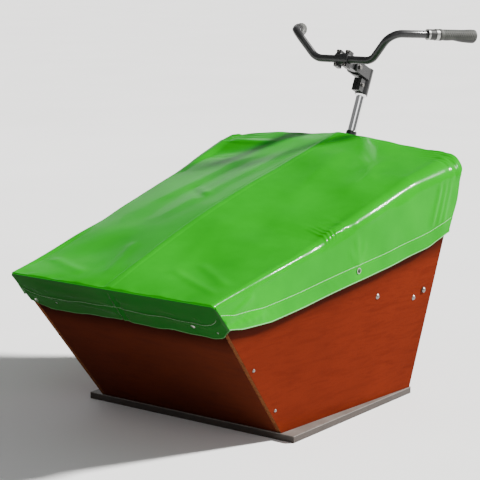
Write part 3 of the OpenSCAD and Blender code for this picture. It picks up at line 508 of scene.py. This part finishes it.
def relief(side, tag, val, x, y, z, v):
    """How far the fabric stands off its mean surface, in mm."""
    out = 0.0
    ax = abs(x)
    near = side > 0
    calm = 1.0 if near else 0.35                              # the far side is pulled straighter
    if tag in ("skirt", "upper"):
        low = 1.0 if tag == "skirt" else 1.0 - val
        if tag == "skirt":
            out += 0.9 if 0.5 < val < 42.8 else 0.0           # doubled hem
            out -= 1.1 * bell(val - 41.2, 1.2)                # stitched line
            out -= 1.0 if val < 0.5 else 0.0
            out += 1.0 * bell(val - 2.2, 2.2)                 # rolled edge
            # puckers drawn in by the seam
            pk = math.sin((y + 1.1 * val) / 3.9 + 0.8 * math.sin(y / 31.0))
            out += 0.55 * pk * bell(val - 22, 15) * (0.25 + smooth((-330 - y) / 120.0))
        out += calm * 1.3 * math.sin(y / 57.0 + 1.3 * side) * low * min(1, (y + 596) / 150)
        out += calm * 0.8 * math.sin(y / 23.0 + z / 40.0) * low * (0.5 + 0.5 * math.sin(y / 140.0))
        out += calm * 1.6 * swell(y + 300 * side, z * 1.7, 190) * smooth((y + 560) / 120.0) * (0.4 + 0.6 * (1 - low))
        # slack pulled towards the side snap
        for ang, amp, far in ((-40, 1.6, 60), (-8, 2.0, 84), (24, 1.4, 66)):
            ex, ez = -50 + far * math.sin(math.radians(ang)), 420 + far * math.cos(math.radians(ang))
            out += amp * crease(y, z, -50, 416, ex, ez, 6.0)
        out -= 2.0 * bell(math.hypot(y + 50, z - 407), 18)
        # drape folds at the rear corner
        for k, yy in enumerate((296, 322, 344)):
            out += (2.6 - 0.4 * k) * crease(y, z, yy - 30, 476, yy + 14, 596, 8.0)
        # the front corner, where the hem is pulled to its snap
        out += 3.2 * crease(y, z, -566, 356, -452, 414, 8.0)
        out -= 2.4 * crease(y, z, -560, 346, -430, 384, 8.0)
        out += 2.6 * crease(y, z, -548, 340, -410, 360, 7.0)
        for k in range(5):
            out += 1.3 * crease(y, z, -540 + 26 * k, 346 - 2 * k, -524 + 26 * k, 372 - 2 * k, 4.5)
    elif tag == "arc":
        out += calm * 1.2 * math.sin(y / 57.0 + 1.3 * side) * (1 - val)
        out += calm * 1.6 * swell(y + 300 * side, z * 1.7, 190) * smooth((y + 560) / 120.0)
        out += calm * 0.9 * math.sin(y / 34.0 + side) * smooth((y + 560) / 100.0) * smooth((260 - y) / 60.0)
        g = smooth(val * 2.2 - 0.3)
        if near:
            out += g * pleats(y, -172, 12.5, 7, 3.8, 2.9, 16 * (val - 0.5))
            out += 2.0 * bell(y + 56 + 30 * (val - 0.3), 4.2) * smooth((0.55 - val) * 3)
        else:
            out += g * pleats(y, -40, 15.0, 3, 4.2, 0.6, 14 * (val - 0.5))
        # gathered pleats round the rear corner
        q = smooth((y - 330) / 50.0)
        out += q * 1.5 * math.sin(y / 2.35 + 3.2 * val + side) * (0.3 + 0.7 * val)
        out += q * 1.0 * math.sin(y / 5.1 - 4.0 * val)
    else:
        ramp = smooth((y + 596) / 90.0)
        out += 2.6 * swell(x, y, 300) * ramp
        out += (0.9 + 0.7 * smooth((x - 30) / 80.0)) * swell(x + 900, y - 300, 110) * ramp
        # ridge over the centre, with the flanks falling slack either side
        out += 5.2 * (math.exp(-math.hypot(ax, 5.0) / 52.0) - 0.02) * smooth((y + 604) / 130.0)
        out += 0.5 if ax < 12.8 else 0.0
        out -= 0.5 * bell(ax - 12.4, 1.0)
        body = math.sin(math.pi * v)
        out -= 5.0 * bell(x + 172, 105) * body
        out -= 4.0 * bell(x - 178, 100) * body
        # slack lying a little flatter behind the front fold
        out -= 5.0 * math.sin(math.pi * smooth((y + 596) / 330.0)) * bell(ax - 140, 150)
        # long soft folds
        for a, b, c, d, amp, w in (
                (-60, 300, -150, -250, 2.2, 34), (-190, 250, -250, -120, 2.2, 30),
                (-186, -8, -84, -78, 1.9, 10), (-200, -2, -100, -98, -1.6, 12),
                (90, 330, 150, -60, 2.0, 30), (230, 330, 262, 40, 1.8, 24),
                (190, -60, 250, -420, 2.0, 34), (60, -180, 120, -500, 1.8, 26),
                (150, -420, 296, -500, 2.0, 12), (100, -470, 300, -548, 1.8, 10),
                (-290, -480, -120, -546, 1.8, 14), (-110, -360, -50, -540, 1.6, 16),
                (290, 150, 200, 250, 1.4, 14)):
            out += amp * crease(x, y, a, b, c, d, w)
        # hollow by the far rear corner, below the held-up edge
        out -= 10.0 * bell(math.hypot((x + 296) / 1.5, (y - 286) / 0.8), 64)
        out += 3.0 * crease(x, y, -352, 366, -170, 340, 14)
        out -= 3.0 * bell(math.hypot((x - 262) / 1.6, (y - 330)), 70)
        edge_in = smooth((ax - 238) / 70.0)
        if x > 0:
            out += pleats(y, -172, 12.5, 7, 3.8, 2.9, 8 - (x - 330) * 0.22) * smooth((x - 274) / 40.0)
        q = smooth((y - 330) / 50.0) * edge_in
        out += q * 1.3 * math.sin(y / 2.35 + 3.2 - (ax - 330) / 14.0 + side)
        # gathers along the front fold and the rear edge
        out += 0.8 * math.sin(x / 21.0) * bell(y + 586, 20) + 0.5 * math.sin(x / 8.3 + 1) * bell(y + 588, 10)
        out += 1.6 * math.sin(x / 46.0 + 0.5) * bell(y - 420, 30) + 0.6 * math.sin(x / 12.0) * bell(y - 420, 14)
    return out


def build_grid():
    rows_all = []
    for v in VS:
        full = []
        for side in (1, -1):
            rows, yn, zh = half_section(v, side)
            seq = rows if side == 1 else list(reversed(rows))[1:]
            for (x, z, tag, val) in seq:
                p = place(side * x, z, v, yn)
                if tag in ("skirt", "upper"):
                    # the rear edge of each skirt is pulled forward at its foot
                    low = 1 - smooth((z - zh) / 95.0)
                    p = (p[0] - side * 2.5 * low * smooth((v - 0.95) / 0.05),
                         p[1] - 22 * low * smooth((v - 0.86) / 0.14), p[2])
                full.append((p, side, tag, val, v))
        rows_all.append(full)
    P = np.array([[c[0] for c in r] for r in rows_all], float)
    return rows_all, P


rows_all, P = build_grid()
nv_, nj_ = P.shape[:2]
du = np.gradient(P, axis=0)
dj = np.gradient(P, axis=1)
nrm = np.cross(dj, du)
nrm /= np.linalg.norm(nrm, axis=2, keepdims=True) + 1e-9
if nrm[nv_ // 2, nj_ // 2, 2] < 0:
    nrm = -nrm
R = np.zeros((nv_, nj_))
for i, r in enumerate(rows_all):
    for j, (p, side, tag, val, v) in enumerate(r):
        R[i, j] = relief(side, tag, val, p[0], p[1], p[2], v)
# keep the edges tidy: no relief pushes the skirts in towards the walls
R[0, :] *= 0.2
R[1, :] *= 0.4
for i, r in enumerate(rows_all):
    for j, c in enumerate(r):
        if c[2] != "top":
            R[i, j] = max(R[i, j], -2.6)
Q = P + nrm * R[..., None]
FN = np.array([0.0, -1.0, -FK]) / math.hypot(1.0, FK)
for j, c in enumerate(rows_all[0]):
    if c[2] in ("skirt", "upper"):
        for i, push in ((0, 1.3), (1, 0.9), (2, 0.4)):
            Q[i, j] += FN * push
# nowhere does the fabric reach the walls it lies over
for i in range(nv_):
    for j in range(nj_):
        x, y, z = Q[i, j]
        if -596 < y < 372:
            wall, top = half_w(y, z) + 3.0, wall_top(y) + 3.2
            if z < top and abs(x) < wall:
                if top - z < wall - abs(x):
                    Q[i, j, 2] = top
                else:
                    Q[i, j, 0] = math.copysign(wall, x)

# front skirt: rows that go on down from the fold, over the top columns
TOPCOLS = [j for j, c in enumerate(rows_all[0]) if c[2] == "top" or (c[2] == "arc" and c[3] > 0.30)]
FS_Z = [407.2, 405.0, 402.5, 399, 394, 388, 380, 372, 364, 357, 353, 351, 349.6, 348.2, 346.8, 344, 338, 331, 325, 319, 314.5, 312.6, 311.4]


def fs_half(z, side=-1):
    w = float(np.interp(z, [310, 392, 399, 405, 409], [315, 326, 327, 325.5, 323.5]))
    if side > 0:                                              # laps over the end of the side skirt
        w = max(w, cov_half(front_edge(z)) + 2.6 * smooth((402 - z) / 10.0))
    return w


def fs_bottom(x):
    ax = abs(x)
    z = float(np.interp(ax, [0, 6, 16, 60, 130, 200, 262, 296, 318, 332], [321, 320, 316.0, 312, 311, 310, 311, 318, 327, 330]))
    z += 11.0 * smooth((x - 296) / 36.0)
    return z - 1.4 * math.sin(x / 33.0) - 0.9 * math.sin(x / 14.0 + 1.0) + 3.0 * bell(x + 130, 70) + 1.5 * bell(x - 80, 40)


FS_OFF = 4.5
fv = Vector((0, -FK, 1)).normalized()
fn = np.array([0, -fv.z, fv.y * 1.0])
fn = fn if fn[1] < 0 else -fn
fn = fn / np.linalg.norm(fn)
x_ref = abs(P[0, TOPCOLS[0], 0])


def front_skirt_rows():
    out = []
    z_top, z_bot_ref = FS_Z[0], FS_Z[-1]
    for i, zr in enumerate(FS_Z):
        row = []
        for j in TOPCOLS:
            xs = P[0, j, 0] / x_ref
            bottom = fs_bottom(xs * 328)
            t = (z_top - zr) / (z_top - z_bot_ref)
            z = z_top - t * (z_top - bottom)
            # follow the rounded corner at the top
            drop = max(0.0, (409 - P[0, j, 2])) * (1 - t) ** 3
            z -= drop
            x = xs * fs_half(z, xs)
            off = FS_OFF
            hem = z - bottom
            o = 0.0
            o += 0.9 if 0.5 < hem < 37.5 else 0.0
            o -= 0.9 * bell(hem - 35.5, 1.2)
            o += 0.8 * bell(hem - 2.0, 2.0)
            o += 1.5 * math.sin(x / 44.0 + 0.6) * smooth(t * 2)
            o += 0.9 * math.sin(x / 17.0 + z / 22.0) * smooth(t * 3) * (0.5 + 0.5 * math.sin(x / 90.0))
            for x0, z0, x1, z1, amp, w in ((-290, 388, 60, 356, 3.0, 6), (-60, 384, 290, 366, 3.0, 6), (40, 392, 240, 380, 2.2, 5),
                                           (-250, 352, 20, 340, 2.2, 5), (60, 350, 300, 344, 2.4, 5),
                                           (-300, 374, -120, 366, 2.2, 5)):
                o += amp * crease(x, z, x0, z0, x1, z1, w)
            # pulls towards the snaps
            for sx in (220, -220, 294, -294):
                o -= 1.0 * bell(math.hypot(x - sx, z - 335), 13)
                for ang in (-50, 0, 50):
                    ex, ez = sx + 60 * math.sin(math.radians(ang)), 344 + 44 * math.cos(math.radians(ang))
                    o += 1.2 * crease(x, z, sx, 344, ex, ez, 5.5)
            o += 2.6 * bell(x, 5.0) * smooth(t * 3)            # centre pleat
            o -= 1.4 * bell(abs(x) - 11, 5.0) * smooth(t * 3)
            o = min(5.2, max(o, -0.3)) * smooth(i / 3.0)
            y = front_y(z)
            q = np.array([x, y, z]) + fn * (off + o)
            if abs(xs) > 0.985:
                q += fn * (4.15 - (off + o)) * smooth((abs(xs) - 0.985) / 0.015) * min(1, i / 3)
            row.append(q)
        out.append(row)
    return out


FS = front_skirt_rows()


# rear flap: rows that go on down behind the rear edge
def rear_flap_cols():
    return [j for j, c in enumerate(rows_all[-1]) if c[2] == "top" or (c[2] == "arc" and c[3] > 0.42)]


REARCOLS = rear_flap_cols()
RF = []
DROPS = [1.2, 3.0, 6, 12, 20, 30, 40, 50]
for i, d in enumerate(DROPS):
    row = []
    for j in REARCOLS:
        p = Q[-1, j]
        zt = p[2]
        bot = 604.0
        t = (i + 1) / len(DROPS)
        full = max(4.0, zt - bot)
        z = zt - full * t
        y = CY1 - 0.6 - 2.0 * t + 0.9 * math.sin(p[0] / 38.0) * t + (0.8 if 0.45 < t < 1 else 0.0)
        row.append(np.array([p[0] * (1 - 0.010 * min(1.0, 3 * t)), y, z]))
    RF.append(row)


def sheet_mesh(name):
    bm = bmesh.new()
    vs = [[bm.verts.new(Q[i, j] * MM) for j in range(nj_)] for i in range(nv_)]
    fs = [[bm.verts.new(q * MM) for q in row] for row in FS]
    rf = [[bm.verts.new(q * MM) for q in row] for row in RF]
    painted_front_shade = []
    rim = SKIRT.index(3.6)
    for i in range(nv_ - 1):
        for j in range(nj_ - 1):
            f = bm.faces.new((vs[i][j], vs[i + 1][j], vs[i + 1][j + 1], vs[i][j + 1]))
            if j < rim or j >= nj_ - 1 - rim:
                f.material_index = 2
    rows = [[vs[0][j] for j in TOPCOLS]] + fs
    for a, b in zip(rows, rows[1:]):
        for j in range(len(a) - 1):
            painted_front_shade.append(bm.faces.new((a[j], a[j + 1], b[j + 1], b[j])))
    per = len(TOPCOLS) - 1
    # faces after the first row of the front skirt take the darker copies (index 1, and 3 for the last two rows):
    # painted shade
    for k, f in enumerate(painted_front_shade):
        f.material_index = 0 if k < per else 3 if k >= len(painted_front_shade) - 2 * per else 1
    rows = [[vs[-1][j] for j in REARCOLS]] + rf
    for a, b in zip(rows, rows[1:]):
        for j in range(len(a) - 1):
            bm.faces.new((a[j], b[j], b[j + 1], a[j + 1]))
    bmesh.ops.recalc_face_normals(bm, faces=bm.faces)
    bm.normal_update()
    mid = vs[nv_ // 2][nj_ // 2]
    if mid.normal.z < 0:
        bmesh.ops.reverse_faces(bm, faces=bm.faces)
    area = sum(f.calc_area() for f in bm.faces)
    me = bpy.data.meshes.new(name)
    bm.to_mesh(me)
    bm.free()
    for p in me.polygons:
        p.use_smooth = True
    ob = bpy.data.objects.new(name, me)
    scene.collection.objects.link(ob)
    return ob, area


def apply_modifiers(ob):
    dg = bpy.context.evaluated_depsgraph_get()
    me = bpy.data.meshes.new_from_object(ob.evaluated_get(dg))
    ob.modifiers.clear()
    ob.data = me
    return ob


cover, cover_area = sheet_mesh("cover_sheet")
cover.data.materials.append(M_pvc)
cover.data.materials.append(M_pvc_front_painted_shade)
cover.data.materials.append(M_hem)
cover.data.materials.append(M_hem_front_painted_shade)
so = cover.modifiers.new("thick", "SOLIDIFY")
so.thickness = 0.0016
so.offset = -1.0
so.use_even_offset = False
apply_modifiers(cover)
for p in cover.data.polygons:
    p.use_smooth = True
print("COVER area", round(cover_area, 4), "verts", len(cover.data.vertices))


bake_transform(cover)
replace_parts(cover, "cover_front_skirt", "cover_top_panel", "cover_left_skirt", "cover_right_skirt", "cover_rear_flap")

# ------------------------------------------------------------------ stitches


def stitch_run(bm, pts, normals, step=5.4, length=4.5, wide=1.15, high=0.55):
    """Small rounded thread bridges along a line of points."""
    seg = [0.0]
    for a, b in zip(pts, pts[1:]):
        seg.append(seg[-1] + float(np.linalg.norm(b - a)))
    total = seg[-1]
    k = int(total / step)
    arr = np.array(pts)
    nor = np.array(normals)
    for i in range(k):
        ends = []
        for s in ((i + 0.5) * step - length / 2, (i + 0.5) * step, (i + 0.5) * step + length / 2):
            p = np.array([np.interp(s, seg, arr[:, c]) for c in range(3)])
            n = np.array([np.interp(s, seg, nor[:, c]) for c in range(3)])
            ends.append((p, n / np.linalg.norm(n)))
        t = ends[2][0] - ends[0][0]
        t /= np.linalg.norm(t)
        loops = []
        for (p, n), lift, w in ((ends[0], 0.0, 0.55), (ends[1], 1.0, 1.0), (ends[2], 0.0, 0.55)):
            b = np.cross(t, n)
            ring = []
            for q in range(6):
                a = 2 * math.pi * q / 6
                off = b * math.cos(a) * wide * w + n * (math.sin(a) * high * w + high * (0.25 + 0.8 * lift))
                ring.append(bm.verts.new((p + off) * MM))
            loops.append(ring)
        for r0, r1 in zip(loops, loops[1:]):
            for q in range(6):
                bm.faces.new((r0[q], r0[(q + 1) % 6], r1[(q + 1) % 6], r1[q]))
        bm.faces.new(list(reversed(loops[0])))
        bm.faces.new(loops[2])


def stitches(name, lines, body, mat):
    bm = bmesh.new()
    for pts, nors in lines:
        stitch_run(bm, pts, nors)
    bmesh.ops.recalc_face_normals(bm, faces=bm.faces)
    me = bpy.data.meshes.new(name)
    bm.to_mesh(me)
    bm.free()
    for p in me.polygons:
        p.use_smooth = True
    me.materials.append(mat)
    ob = bpy.data.objects.new(name, me)
    scene.collection.objects.link(ob)
    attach(ob, body)
    return ob


def col_line(j, i0=1, i1=None, lift=0.15):
    i1 = nv_ - 1 if i1 is None else i1
    pts = [Q[i, j] + nrm[i, j] * lift for i in range(i0, i1)]
    return pts, [nrm[i, j] for i in range(i0, i1)]


j_st = SKIRT.index(41.2)
half_n = (nj_ + 1) // 2
side_lines = [col_line(j_st), col_line(nj_ - 1 - j_st)]
st1 = stitches("cover_stitches", side_lines, "cover", M_thread)
# front hem stitches
iz = min(range(len(FS_Z)), key=lambda i: abs(FS[i][len(TOPCOLS) // 2][2] - (fs_bottom(0) + 35.5)))
fpts = []
for k, j in enumerate(TOPCOLS):
    x = FS[10][k][0]
    if abs(x) > 322:
        continue
    z = fs_bottom(x) + 35.5
    col = [FS[i][k] for i in range(len(FS_Z))]
    zs = [c[2] for c in col]
    q = np.array([np.interp(-z, [-a for a in zs], [c[m] for c in col]) for m in range(3)])
    fpts.append(q + fn * 0.2)
st2 = stitches("front_hem_stitches", [(fpts, [fn] * len(fpts))], "box", M_thread_front)

# ------------------------------------------------------------------ handlebar

LEAN = math.radians(24.8)
sL, cL = math.sin(LEAN), math.cos(LEAN)
COL = np.array([0, 486.0, 665.0])


def col_pt(x, y, z):
    return COL + np.array([x, y * cL + z * sL, -y * sL + z * cL])


BAR = col_pt(0, -134, 197)
C1, C2, C3 = np.array([95.0, 0, 0]), np.array([163.0, -9, 80]), np.array([302.0, 226, 67])


def unit(v):
    return v / np.linalg.norm(v)


def bend_pts(a, b, c, r, n):
    d1, d2 = unit(b - a), unit(c - b)
    w = math.acos(float(d1 @ d2))
    t = r * math.tan(w / 2)
    m = unit(d2 - (d1 @ d2) * d1)
    o = b - d1 * t + m * r
    return [o - m * r * math.cos(w * i / n) + d1 * r * math.sin(w * i / n) for i in range(n + 1)]


half = bend_pts(np.zeros(3), C1, C2, 42, 20) + bend_pts(C1, C2, C3, 46, 26) + [C3 - unit(C3 - C2) * 3]


def sweep(name, pts, radius, mat, sides=40, ref=(0, -1, 1), caps=True):
    bm = bmesh.new()
    rings = []
    for i, p in enumerate(pts):
        t = np.zeros(3)
        if i < len(pts) - 1:
            t += unit(pts[i + 1] - p)
        if i > 0:
            t += unit(p - pts[i - 1])
        t = unit(t)
        u = unit(np.cross(np.array(ref, float), t))
        v = np.cross(t, u)
        r = radius(i) if callable(radius) else radius
        rings.append([bm.verts.new((p + r * (u * math.cos(a) + v * math.sin(a))) * MM)
                      for a in (2 * math.pi * k / sides for k in range(sides))])
    for a, b in zip(rings, rings[1:]):
        for k in range(sides):
            bm.faces.new((a[k], a[(k + 1) % sides], b[(k + 1) % sides], b[k]))
    if caps:
        bm.faces.new(list(reversed(rings[0])))
        bm.faces.new(rings[-1])
    bmesh.ops.recalc_face_normals(bm, faces=bm.faces)
    me = bpy.data.meshes.new(name)
    bm.to_mesh(me)
    bm.free()
    for p in me.polygons:
        p.use_smooth = len(p.vertices) == 4
    me.materials.append(mat)
    ob = bpy.data.objects.new(name, me)
    scene.collection.objects.link(ob)
    return ob


right = [np.array([-p[0], p[1], p[2]]) for p in reversed(half)]
middle = [(x, r) for x, r in ((-46, 11.1), (-34, 11.2), (-29, 11.9), (-25, 12.7), (25, 12.7), (29, 11.9), (34, 11.2), (46, 11.1))]
path = [p + BAR for p in right] + [BAR + np.array([x, 0, 0]) for x, _ in middle] + [p + BAR for p in half]
radii = [11.1] * len(right) + [r for _, r in middle] + [11.1] * len(half)
bar = sweep("handlebar_bent_tube", path, lambda i: radii[i], M_black)
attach(bar, "handlebar")
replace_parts(bar, "handlebar_tube")

# ------------------------------------------------------------------ grips


def grip_mesh(name, side):
    d = unit(C3 - C2)
    az, inc = math.atan2(d[1], d[0]), math.acos(d[2])
    rot = Matrix.Rotation(az, 4, "Z") @ Matrix.Rotation(inc, 4, "Y")
    loc = Matrix.Translation(Vector(BAR + C3))
    prof = [(-122, 11.2), (-121.9, 15.6), (-121, 16.4), (-118, 16.9), (-113, 16.9), (-110.5, 16.2), (-109, 15.6)]
    prof += [(z, 15.5 + 0.5 * math.sin((z + 109) / 60.0)) for z in np.linspace(-107, -46, 46)]
    prof += [(z, 16.0 + 1.4 * smooth((z + 46) / 34.0)) for z in np.linspace(-44, -9, 26)]
    prof += [(-7, 17.4), (-4.5, 17.3), (-2.4, 16.7), (-1.0, 15.6), (-0.3, 14.0), (0.0, 12.0), (0.0, 6.0), (0.0, 0.5)]
    sides = 84
    bm = bmesh.new()
    rings, kinds = [], []
    for z, r in prof:
        ring = []
        for k in range(sides):
            a = 2 * math.pi * k / sides
            down = math.cos(a)                       # +1 points down
            body = r
            # palm rest that swells under the outer end
            if r > 12:
                lobe = smooth((z + 78) / 44.0) * smooth((-z + 1.5) / 9.0)
                body += lobe * 4.0 * max(0.0, down) ** 1.6
                # finger waves under the inner half, ribs on top
                body += 0.6 * math.sin((z + 109) / 8.2) * max(0.0, down) * smooth((z + 108) / 6) * smooth((-48 - z) / 12)
                if -107 < z < -10 and down < 0.55:
                    rib = math.sin(z * 2 * math.pi / 7.2) * math.sin(k * 2 * math.pi / 12.0)
                    body += 0.85 * max(-0.35, rib)
            ring.append(bm.verts.new(Vector((body * math.cos(a), body * math.sin(a), z))))
        rings.append(ring)
    for i, (a, b) in enumerate(zip(rings, rings[1:])):
        for k in range(sides):
            f = bm.faces.new((a[k], a[(k + 1) % sides], b[(k + 1) % sides], b[k]))
            ang = math.cos(2 * math.pi * (k + 0.5) / sides)
            zc = (prof[i][0] + prof[i + 1][0]) / 2
            f.material_index = 1 if (ang > 0.62 or zc > -4 or zc < -117) else 0
    bm.faces.new(rings[-1])
    bm.faces.new(list(reversed(rings[0])))
    bmesh.ops.recalc_face_normals(bm, faces=bm.faces)
    me = bpy.data.meshes.new(name)
    bm.to_mesh(me)
    bm.free()
    for p in me.polygons:
        p.use_smooth = True
    me.materials.append(M_grip)
    me.materials.append(M_soft)
    me.transform(loc @ rot)
    if side < 0:
        me.transform(Matrix.Scale(-1, 4, Vector((1, 0, 0))))
        me.flip_normals()
    me.transform(Matrix.Scale(MM, 4))
    ob = bpy.data.objects.new(name, me)
    scene.collection.objects.link(ob)
    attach(ob, "handlebar")
    return ob


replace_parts(grip_mesh("left_moulded_grip", 1), "left_grip")
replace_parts(grip_mesh("right_moulded_grip", -1), "right_grip")

# ------------------------------------------------------------------ stage


def area_light(name, loc, target, size, power, color=(1, 1, 1), size_y=None):
    d = bpy.data.lights.new(name, "AREA")
    d.energy = power
    d.color = color
    d.shape = "RECTANGLE"
    d.size = size
    d.size_y = size_y or size
    o = bpy.data.objects.new(name, d)
    o.location = loc
    o.rotation_euler = (Vector(target) - Vector(loc)).to_track_quat("-Z", "Y").to_euler()
    scene.collection.objects.link(o)
    return o


sun = bpy.data.lights.new("key", "SUN")
sun.energy = 12.5
sun.angle = math.radians(6.5)
sun.color = (1.0, 0.985, 0.96)
key = bpy.data.objects.new("key", sun)
key.rotation_euler = Vector((0.54, 0.56, 0.63)).to_track_quat("Z", "Y").to_euler()
scene.collection.objects.link(key)
area_light("sky_panel", (-4.6, 4.3, 2.35), (0, 0, 0.5), 3.6, 13, (0.96, 0.99, 1.0), 1.1)
area_light("softbox", (2.7, -3.1, 3.7), (0, 0.4, 0.7), 2.8, 34, (1, 1, 1), 1.8)

world = bpy.data.worlds.new("studio")
scene.world = world
world.use_nodes = True
world.node_tree.nodes["Background"].inputs[0].default_value = (1, 1, 1, 1)
world.node_tree.nodes["Background"].inputs[1].default_value = 0.28

bm = bmesh.new()
bmesh.ops.create_grid(bm, x_segments=4, y_segments=4, size=70)
me = bpy.data.meshes.new("floor")
bm.to_mesh(me)
bm.free()
floor = bpy.data.objects.new("floor", me)
scene.collection.objects.link(floor)
fm = Mat("pale_floor").set(rough=0.8, spec=0.2)
fm.link(fm.ramp(fm.noise(1.2, 2.0), [(0.3, (0.83, 0.83, 0.83)), (0.7, (0.86, 0.86, 0.86))]), "Base Color")
me.materials.append(fm.m)

cam = bpy.data.cameras.new("camera")
cam.sensor_width = 36.0
cam.lens = 122.2
cam.clip_end = 60
camera = bpy.data.objects.new("camera", cam)
camera.location = (2.5686, -3.5121, 1.2559)
camera.rotation_euler = (Vector((-0.02547, -0.0187, 0.43765)) - camera.location).to_track_quat("-Z", "Y").to_euler()
scene.collection.objects.link(camera)
scene.camera = camera
